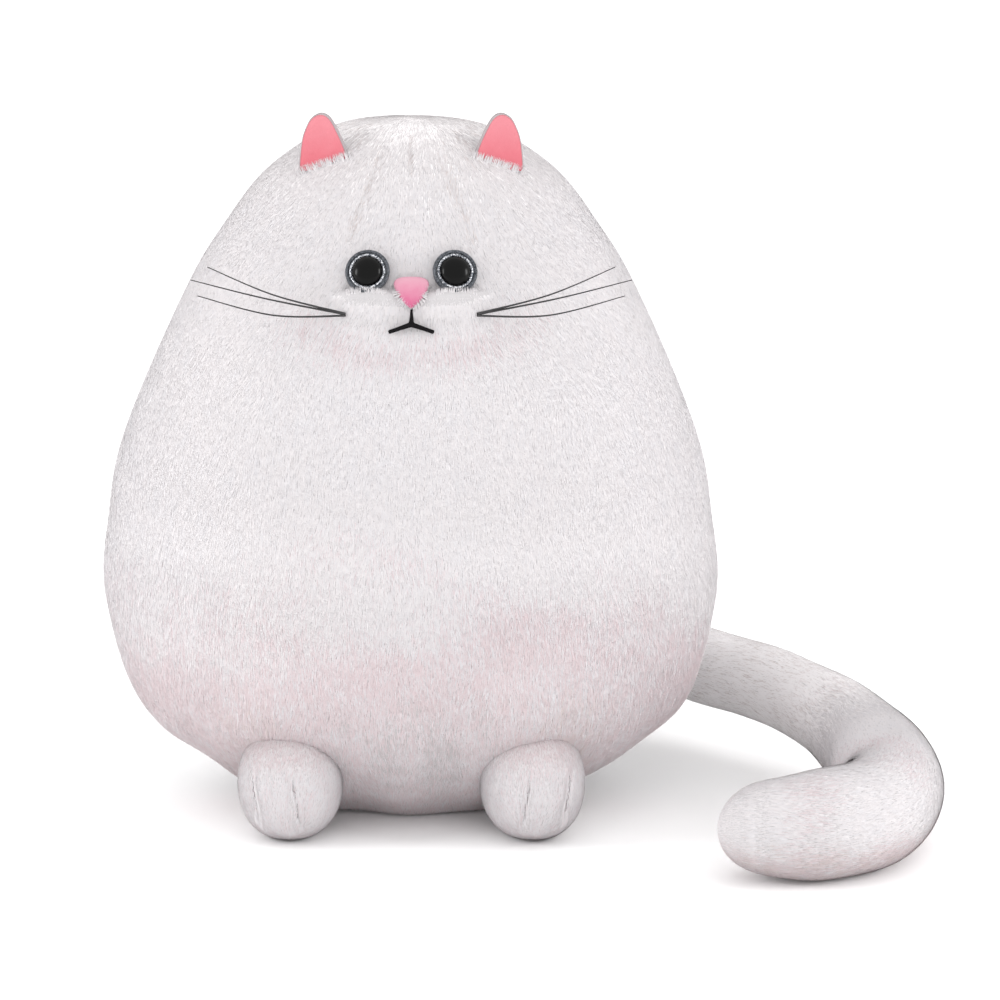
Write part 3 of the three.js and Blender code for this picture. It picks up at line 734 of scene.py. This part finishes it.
# ---------------------------------------------------------------- tail
def tail_line(count):
    """Points along the middle of the tail and the tail's radius at each; both ends are round."""
    tip_rows, root_rows = 24, 12
    line = evenly(TAIL_ROUTE, 1200)
    run = np.append(0, np.cumsum(np.linalg.norm(np.diff(line, axis=0), axis=1)))
    length = run[-1] - TAIL_SPARE
    end = length - SKIN_INSET
    straight = np.linspace(0, end - TAIL_RADIUS, count - tip_rows)
    around = straight[-1] + TAIL_RADIUS * np.sin(np.linspace(0, math.pi / 2, tip_rows + 1)[1:])
    at = np.append(straight, around)
    swell = smoothstep(at, 0.5 * length, 0.75 * length)
    slim = smoothstep(at, 0.9 * length, length)
    radius = TAIL_RADIUS + TAIL_END_SWELL * (swell - slim) - SKIN_INSET
    into = np.clip(at - (end - radius), 0, None) / radius
    radius = radius * np.sqrt(np.maximum(1 - into**2, 0.0002))
    points = np.stack([np.interp(at, run, line[:, k]) for k in range(3)], axis=1)
    turn = np.linspace(-0.49 * math.pi, 0, root_rows + 1)[:-1]
    ball = points[0] + np.sin(turn)[:, None] * radius[0] * unit(points[1] - points[0])
    return np.concatenate([ball, points]), np.append(radius[0] * np.cos(turn), radius)


def tail_relief(points):
    return 0.3 * MM * lumps(points, 0.02, 41)


def combed_along_tail(points):
    """The pile lies along the tail, towards its tip."""
    line, _ = tail_line(200)
    along = unit(np.gradient(line, axis=0))
    nearest = np.empty(len(points), int)
    batch = 4000
    for start in range(0, len(points), batch):
        part = points[start:start + batch]
        gap = np.linalg.norm(part[:, None] - line[None], axis=2)
        nearest[start:start + batch] = gap.argmin(axis=1)
    return along[nearest]


def make_tail():
    line, radius = tail_line(330)
    rings = tube(line, radius, sides=110)
    rings = pushed_out(rings[:, ::-1], tail_relief)
    rings[..., 2] = np.maximum(rings[..., 2], SKIN_INSET)
    skin = Skin("plush_tail", rings, combed_along_tail, tail_zones)
    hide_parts("tail_skin_upper", "tail_skin_lower", "tail_root_filling")
    near = grow_pile("pile_tail_near", skin, 5.0, 5.0 * MM, 700,
                     lambda points: points[:, 1] > TAIL_PILE_SPLIT)
    far = grow_pile("pile_tail_far", skin, 5.5, 5.0 * MM, 710,
                    lambda points: points[:, 1] <= TAIL_PILE_SPLIT)
    for piece in (skin.object, near, far):
        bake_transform(piece)


# ---------------------------------------------------------------- paws
def toe_line(offset, height):
    """Distance of a toe crease from the middle of the paw; it leans out as it rises."""
    return offset + 0.12 * (height + 0.002) + 0.3 * MM * np.sin(height / 0.0022)


def paw_rings(sign):
    """A soft oval paw with three toes and a flat underside."""
    rows, columns = 90, 150
    tilt = np.linspace(0.01, math.pi - 0.01, rows)[:, None]
    turn = np.linspace(0, 2 * math.pi, columns, endpoint=False)[None]
    shape = np.stack([np.sin(tilt) * np.sin(turn), -np.sin(tilt) * np.cos(turn),
                      np.broadcast_to(-np.cos(tilt), (rows, columns))], axis=-1)
    shape = np.sign(shape) * np.abs(shape) ** 0.9
    points = shape * (PAW_RADII - SKIN_INSET)
    front = smoothstep(-points[..., 1], -0.002, 0.018)
    for offset in TOE_OFFSETS.values():
        crease = bell(points[..., 0] - toe_line(offset, points[..., 2]), 1.0 * MM)
        high = smoothstep(0.014 - points[..., 2], 0, 0.008) * smoothstep(points[..., 2], -0.016, -0.006)
        points = points - shape * (TOE_DEPTH * crease * front * high)[..., None]
    points[..., 0] *= sign
    points = points + PAW_CENTRE * (sign, 1, 1)
    points[..., 2] = np.maximum(points[..., 2], SKIN_INSET)
    return points if sign > 0 else points[:, ::-1]


def toe_stitch(rings, sign, offset):
    """Thread pulled into the bottom of a toe crease."""
    local = (rings - PAW_CENTRE * (sign, 1, 1)) * (sign, 1, 1)
    gap = np.abs(local[..., 0] - toe_line(offset, local[..., 2])) + (local[..., 1] > 0)
    line = rings[np.arange(len(rings)), gap.argmin(axis=1)]
    height = line[:, 2] - PAW_CENTRE[2]
    line = line[(height > -0.007) & (height < 0.0085)]
    count, radius = 24, 0.22 * MM
    return ring_skin(tube(evenly(line, count), np.full(count, radius), sides=8)[:, ::-1])


def combed_over_paw(points):
    """The pile runs forwards over the toes and then down."""
    comb = np.zeros_like(points)
    comb[:, 1] = -0.7
    comb[:, 2] = -1
    return comb


def paw_pile_chance(points, sign):
    """No pile inside the body or over the stitches of the toes."""
    body_edge, stitch_half_width, stitch_half_height = 0.085, 0.3 * MM, 0.0075
    from_axis = np.hypot(points[:, 0], points[:, 1] / BODY_DEPTH_RATIO)
    x, y, z = ((points - PAW_CENTRE * (sign, 1, 1)) * (sign, 1, 1)).T
    stitched = np.zeros(len(points), bool)
    for offset in TOE_OFFSETS.values():
        beside = np.abs(x - toe_line(offset, z))
        stitched |= (beside < stitch_half_width) & (y < 0) & (np.abs(z) < stitch_half_height)
    return (from_axis > body_edge) & ~stitched


def make_paws():
    for side, sign in SIDES.items():
        rings = paw_rings(sign)
        skin = Skin(f"plush_paw_{side}", rings, combed_over_paw, paw_zones)
        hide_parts(f"paw_{side}_skin")
        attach(skin.object, "body")
        pile = grow_pile(f"pile_paw_{side}", skin, 9.0, 3.6 * MM, 800 + sign,
                         lambda points: paw_pile_chance(points, sign), lift=0.07)
        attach(pile, "body")
        for toe, offset in TOE_OFFSETS.items():
            stitch = add_mesh(f"toe_{side}_{toe}_shape", *toe_stitch(rings, sign, offset), [TOE_THREAD])
            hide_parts(f"paw_{side}_toe_stitch_{toe}")
            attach(stitch, "body")


# ---------------------------------------------------------------- ears
def ear_frame(sign):
    """Directions of an ear: outwards along its sewn edge, up it, and out of its face."""
    outward = unit(np.array((0.945, 0.1, -0.31)))
    face = np.array((0.13, -0.985, 0.05))
    face = unit(face - face @ outward * outward)
    up = np.cross(face, outward)
    spot, _ = body_spot(EAR_X, EAR_Z)
    middle = spot[0] + (0, 0.001, 0)
    flip = np.array((sign, 1, 1))
    return middle * flip, outward * flip, up * flip, face * flip


def ear_outline(margin, count=80):
    """The edge of an ear in its own plane, from the inner corner over the tip to the outer corner."""
    half, tip = EAR_WIDTH / 2 + margin, EAR_HEIGHT + margin
    corners = np.array(
        [(-0.98 * half, -0.004), (-0.96 * half, 0.1 * tip), (-0.89 * half, 0.5 * tip),
         (-0.74 * half, 0.86 * tip), (-0.46 * half, tip), (-0.08 * half, 0.97 * tip),
         (0.24 * half, 0.82 * tip), (0.56 * half, 0.58 * tip), (0.92 * half, 0.15 * tip),
         (0.97 * half, 0.0)]
    )
    return evenly(corners, count)


def ear_sheet(sign, margin, back, front, cup):
    """A thin closed layer of an ear; cup is how far its middle bows backwards."""
    edge = ear_outline(margin)
    hem = np.linspace(edge[-1], edge[0], 30)[1:-1]
    loop = np.concatenate([edge, hem])
    heart = np.array((-0.12 * EAR_WIDTH, 0.32 * EAR_HEIGHT))
    middle, outward, up, face = ear_frame(sign)
    rings = []
    shares = np.linspace(0.02, 1, 16)
    for share, depth in [(s, front) for s in shares] + [(s, back) for s in shares[::-1]]:
        flat = heart + (loop - heart) * share
        bow = -cup * (1 - share**2)
        ease = (front - back) / 2 * (1 - share**6)
        level = bow + (ease if depth == front else -ease) + (front + back) / 2
        rings.append(middle + flat[:, :1] * outward + flat[:, 1:] * up + level * face)
    rings = np.array(rings)
    return rings if sign < 0 else rings[:, ::-1]


def combed_up_ear(points):
    """The pile of an ear runs up to its tip."""
    comb = np.zeros_like(points)
    comb[:, 2] = 1
    return comb


def make_ears():
    """Ears of two layers: a plush back, and a satin lining before it."""
    behind = -1.6 * MM  # only the back of the outer layer carries pile
    lining_front = 1.3 * MM
    for side, sign in SIDES.items():
        middle, outward, up, face = ear_frame(sign)
        layer = ear_sheet(sign, margin=0.5 * MM, back=-2.4 * MM, front=-0.2 * MM, cup=1.6 * MM)
        back = Skin(f"plush_ear_{side}", layer, combed_up_ear, plain_zones)
        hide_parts(f"ear_{side}_back")
        pile = grow_pile(f"pile_ear_{side}", back, 6.0, 2.0 * MM, 900 + sign,
                         lambda points: (points - middle) @ face < behind, lift=0.12)
        layer = ear_sheet(sign, margin=-0.3 * MM, back=0.1 * MM, front=lining_front, cup=1.2 * MM)
        points, faces = ring_skin(layer)
        lining = add_mesh(f"satin_ear_{side}", points, faces, [PINK_SATIN])
        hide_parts(f"ear_{side}_lining")
        for piece in (back.object, pile, lining):
            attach(piece, f"ear_{side}")
        across = np.linspace(-0.56, 0.56, 30)[:, None] * EAR_WIDTH
        edge = middle + across * outward + face * lining_front + up * EAR_HEM
        fringe = grow_fringe(f"pile_ear_base_{side}", edge, np.broadcast_to(up, edge.shape), face,
                             reach=2.4 * MM, cover=1.9 * MM, height=0.25 * MM, per_mm=14, seed=950 + sign)
        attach(fringe, "body")


# ---------------------------------------------------------------- face
def arc(middle, radii, start, end, count):
    """Points of an oval arc, from the start to the end angle."""
    turn = np.linspace(start, end, count)
    return np.stack([middle[0] + radii[0] * np.cos(turn), middle[1] + radii[1] * np.sin(turn)], axis=1)


def eye_outlines():
    """(radius, height) outlines of the domed pupil, the glitter bead round it and the cup."""
    dome = arc((0, 3.0), (5.75, 3.1), 0, math.pi / 2, 14)
    pupil = np.concatenate([[(5.2, 2.1), (5.75, 2.2)], dome[:-1], [(0.05, 6.1)]])
    bead = arc((6.45, 2.5), (0.62, 0.75), 0.1 * math.pi, 1.0 * math.pi, 10)
    ring = np.concatenate([[(5.83, 2.1), (7.0, 2.1)], bead])
    lip = arc((7.75, 2.2), (0.85, 1.15), -0.35 * math.pi, 0.75 * math.pi, 16)
    cup = np.concatenate([[(0.2, 0.5), (7.0, 0.5)], lip, [(7.08, 2.2), (7.08, 1.9), (0.2, 1.9)]])
    return pupil * MM, ring * MM, cup * MM


def make_eyes():
    """Grey cups, glitter rings and domed black pupils, with the fur of the cheek over their lower edge."""
    pupil, ring, cup = eye_outlines()
    looks = (("pupil", pupil, PUPIL), ("glitter_ring", ring, GLITTER), ("cup", cup, EYE_CUP))
    for side, sign in SIDES.items():
        spot, out = body_spot(sign * EYE_X, EYE_Z)
        spot, out = spot[0], out[0]
        for name, profile, material in looks:
            rings = revolved(profile, spot, out)
            if name == "glitter_ring":
                rings = np.concatenate([rings, rings[:1]])
                points = rings.reshape(-1, 3)
                faces = grid_faces(*rings.shape[:2])
            else:
                points, faces = ring_skin(rings)
            piece = add_mesh(f"eye_{side}_{name}_shape", points, faces, [material])
            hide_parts(f"eye_{side}_{name}")
            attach(piece, "body")
        level = unit(np.cross((0, 0, 1), out))
        up = np.cross(out, level)
        half_width, count, droop = 0.0078, 40, 12
        across = np.linspace(-half_width, half_width, count)[:, None]
        edge = spot + across * level - (EYE_COVER + 0.4 * MM + droop * across**2) * up
        fringe = grow_fringe(f"pile_eye_{side}", edge, np.broadcast_to(up, edge.shape), out,
                             reach=2.6 * MM, cover=1.2 * MM, height=4.0 * MM, per_mm=12, seed=960 + sign)
        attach(fringe, "body")


def nose_outline(count=96):
    """A rounded triangle with its point down, as (x, height) from the middle."""
    half, top = NOSE_WIDTH / 2, NOSE_HEIGHT / 2
    right = np.array([(0, top), (half * 0.5, top * 0.97), (half * 0.88, top * 0.8), (half, top * 0.45),
                      (half * 0.82, -top * 0.1), (half * 0.46, -top * 0.75), (0, -top * 1.2)])
    edge = evenly(right, count // 2 + 1)
    mirrored = edge[1:-1][::-1] * (-1, 1)
    return np.concatenate([edge, mirrored])


def make_nose():
    """A padded triangle, with the fur of the muzzle over its lower edges."""
    spot, out = body_spot(0, NOSE_Z)
    spot, out = spot[0], out[0]
    side = unit(np.cross((0, 0, 1), out))
    up = np.cross(out, side)
    edge = nose_outline()
    under = [(0.85, 0.4), (1, 0.9)]
    cushion = [(math.cos(t), 1.2 + 2.6 * math.sin(t)) for t in np.linspace(0, 0.49 * math.pi, 14)]
    rings = []
    for share, height in under + cushion:
        flat = edge * share
        rings.append(spot + flat[:, :1] * side + flat[:, 1:] * up + height * MM * out)
    points, faces = ring_skin(np.array(rings)[:, ::-1])
    nose = add_mesh("nose_pad_shape", points, faces, [NOSE_SATIN])
    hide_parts("nose_pad")
    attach(nose, "body")
    lower = edge[np.argsort(np.arctan2(edge[:, 0], -edge[:, 1]))]
    lower = lower[lower[:, 1] < 0.25 * NOSE_HEIGHT]
    inward = -lower / np.linalg.norm(lower, axis=1, keepdims=True)
    inward = inward[:, :1] * side + inward[:, 1:] * up
    line = spot + lower[:, :1] * side + lower[:, 1:] * up
    fringe = grow_fringe("pile_nose", line, inward, out, reach=2.2 * MM, cover=2.0 * MM,
                         height=3.1 * MM, per_mm=10, seed=970)
    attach(fringe, "body")


def on_body(points, lift):
    """(x, z) points laid on the front of the body, lifted off it."""
    spots, out = body_spot(points[:, 0], points[:, 1])
    return spots + out * lift


def make_mouth():
    """Three rows of thread: a stem that thickens downwards, and two arms that droop at their ends."""
    count = 24
    along = np.linspace(0, 1, count)
    stem = evenly([(0, NOSE_Z - NOSE_HEIGHT / 2 + 0.0006), (0.0001, 0.2045), (0, MOUTH_Z)], count)
    arm = evenly([(0, MOUTH_Z), (0.0042, MOUTH_Z - 0.0014), (0.0086, MOUTH_Z - 0.0029)], count)
    stem_radii = 0.42 + 0.75 * along**2
    arm_radii = 0.78 + 0.3 * (1 - along) ** 3
    lines = {"centre": (stem, stem_radii), "right": (arm, arm_radii), "left": (arm * (-1, 1), arm_radii)}
    for name, (line, radii) in lines.items():
        radii = radii * MM
        radii[-1] *= 0.5
        points, faces = ring_skin(tube(on_body(line, 1.4 * MM), radii)[:, ::-1])
        piece = add_mesh(f"mouth_{name}_shape", points, faces, [BLACK_THREAD])
        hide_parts(f"mouth_stitch_{name}")
        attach(piece, "body")


def make_whiskers():
    """Three strands a side; the start height, middle and end of each are millimetres from the root."""
    strands = [(0.3, (27, -8, 8.2), (51, -17, 19.5)), (0, (30, -8, 6.8), (57.5, -15, 14.5)),
               (-0.5, (27, -9, 0.6), (54.5, -20, 9))]
    count = 40
    radii = np.linspace(0.42, 0.18, count) * MM
    for side, sign in SIDES.items():
        spot, out = body_spot(WHISKER_X, WHISKER_Z)
        root = spot[0] + out[0] * 1.2 * MM
        for number, (start, middle, end) in enumerate(strands, start=1):
            line = np.array([root + (0, 0, start * MM), root + np.array(middle) * MM,
                             root + np.array(end) * MM])
            line = evenly(line, count) * (sign, 1, 1)
            points, faces = ring_skin(tube(line, radii, sides=8)[:, ::-1])
            piece = add_mesh(f"whisker_strand_{side}_{number}", points, faces, [WHISKER])
            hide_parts(f"whisker_{side}_{number}")
            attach(piece, f"whiskers_{side}")


# ---------------------------------------------------------------- CAD nodes that stay
def finish_cad_nodes():
    """Give the CAD nodes that no piece replaces their materials, by a word in their names."""
    looks = {"filling": FIBRE, "bead_bag": BEAD_CLOTH, "washer": WHITE_PLASTIC, "anchor": WHITE_PLASTIC,
             "closing_stitch": WHITE_THREAD}
    for name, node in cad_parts.items():
        for part, material in looks.items():
            if part in name:
                node.data.materials.clear()
                node.data.materials.append(material)


# ---------------------------------------------------------------- studio
def add_area(name, place, target, size, power):
    data = bpy.data.lights.new(name, "AREA")
    data.shape = "RECTANGLE"
    data.size, data.size_y = size
    data.energy = power
    lamp = bpy.data.objects.new(name, data)
    bpy.context.scene.collection.objects.link(lamp)
    lamp.location = place
    lamp.rotation_euler = (Vector(target) - Vector(place)).to_track_quat("-Z", "Y").to_euler()


def add_studio():
    """An even white world, a pale floor, and two weak softboxes for the reflections in the eyes."""
    scene = bpy.context.scene
    scene.view_settings.view_transform = "Standard"
    world = bpy.data.worlds.new("studio")
    world.use_nodes = True
    world.node_tree.nodes["Background"].inputs["Color"].default_value = (1, 1, 1, 1)
    world.node_tree.nodes["Background"].inputs["Strength"].default_value = 1.27
    scene.world = world
    material, _ = new_material("floor", (0.985, 0.985, 0.985), 0.9, Specular_IOR_Level=0.0)
    reach = 6
    floor = add_mesh("floor", [(-reach, -reach, 0), (reach, -reach, 0), (reach, reach, 0),
                               (-reach, reach, 0)], [(0, 1, 2, 3)], [material], smooth=False)
    for name, side in (("softbox_left", -1), ("softbox_right", 1)):
        add_area(name, (1.35 * side, -0.45, 0.55), (0, 0, 0.12), (0.35, 0.6), 7.5)


add_camera()
make_body()
make_tail()
make_paws()
make_ears()
make_eyes()
make_nose()
make_mouth()
make_whiskers()
finish_cad_nodes()
add_studio()
